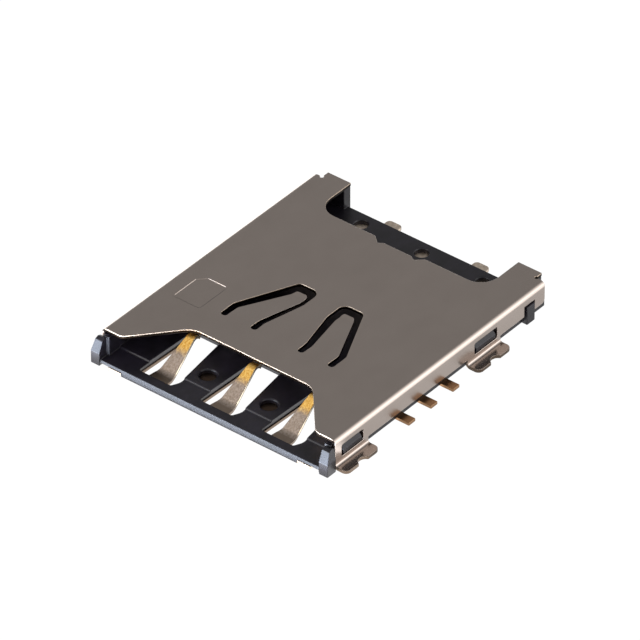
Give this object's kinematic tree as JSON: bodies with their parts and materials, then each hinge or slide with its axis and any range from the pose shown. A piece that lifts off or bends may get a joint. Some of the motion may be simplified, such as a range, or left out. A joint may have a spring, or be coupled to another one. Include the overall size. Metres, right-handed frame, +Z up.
{
  "type": "sim card socket",
  "caption": "Low surface mount socket for a nano SIM card: folded metal cover with spring tongues over a moulded housing with sprung contacts, open at the front.",
  "frame": {"origin": "centre of the socket's footprint, on the solder plane", "axes": "+X to the right seen from the open front, +Y towards the rear, +Z up from the board"},
  "size_m": [0.0106, 0.012, 0.0012],
  "materials": {
    "moulded_plastic": "fine matt moulded liquid crystal polymer",
    "cover_steel": "cold rolled stainless strip, satin",
    "contact_metal": "copper alloy, nickel plated, gold on the contact points",
    "anchor_metal": "copper alloy, tin plated, bare at the cut ends"
  },
  "bodies": {
    "root": {"housing": "moulded_plastic", "shell": "cover_steel", "front_contact_left": "contact_metal", "front_contact_middle": "contact_metal", "front_contact_right": "contact_metal", "rear_contact_left": "contact_metal", "rear_contact_middle": "contact_metal", "rear_contact_right": "contact_metal", "front_anchor_left": "anchor_metal", "front_anchor_right": "anchor_metal", "rear_anchor": "anchor_metal"}
  },
  "joints": []
}
